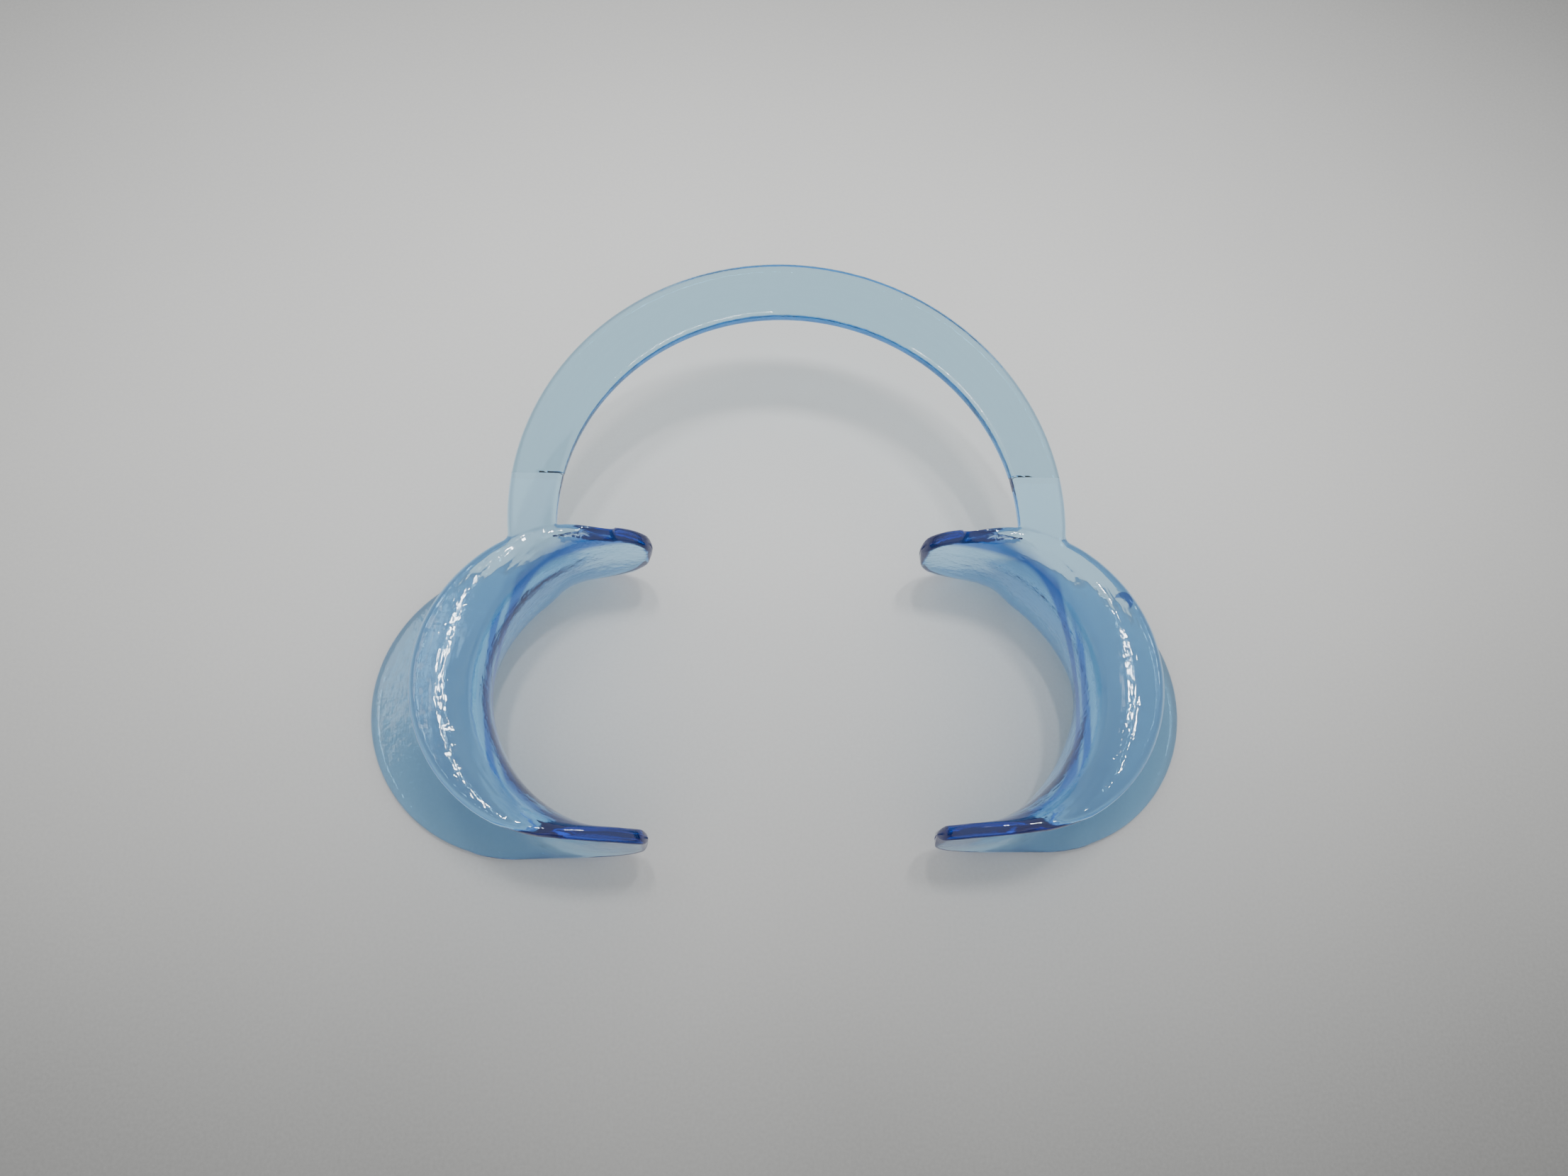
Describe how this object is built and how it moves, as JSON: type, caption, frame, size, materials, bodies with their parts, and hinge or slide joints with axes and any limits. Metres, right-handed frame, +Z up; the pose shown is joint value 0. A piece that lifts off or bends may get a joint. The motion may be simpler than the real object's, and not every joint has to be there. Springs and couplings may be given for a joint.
{
  "type": "cheek retractor",
  "caption": "C-shaped dental cheek retractor: a flat spring bow carries curved lip channels, each with an outer and a wider inner flange, that hold the mouth open.",
  "frame": {"origin": "under the middle of the object's box, on the surface that it lies on", "axes": "+X across the mouth towards the moving cheek piece, +Y towards the crown of the bow, +Z up, from the cheek flanges to the lip flanges"},
  "size_m": [0.1098, 0.0768, 0.0205],
  "materials": {
    "clear_blue_plastic": "clear blue polycarbonate as moulded, glossy, with fine tool marks on the lip flanges"
  },
  "bodies": {
    "left_half": {"bow_left": "clear_blue_plastic", "shoulder_left": "clear_blue_plastic", "lip_flange_left": "clear_blue_plastic", "saddle_left": "clear_blue_plastic", "cheek_flange_left": "clear_blue_plastic"},
    "right_half": {"bow_right": "clear_blue_plastic", "shoulder_right": "clear_blue_plastic", "lip_flange_right": "clear_blue_plastic", "saddle_right": "clear_blue_plastic", "cheek_flange_right": "clear_blue_plastic"}
  },
  "joints": [
    {"name": "bow_flex", "type": "hinge", "parent": "left_half", "child": "right_half", "pos_m": [0, 0.03433, 0.0196], "axis": [0, 0, -1], "range_deg": [-5, 22], "stiffness_Nm_per_rad": 2.3}
  ]
}
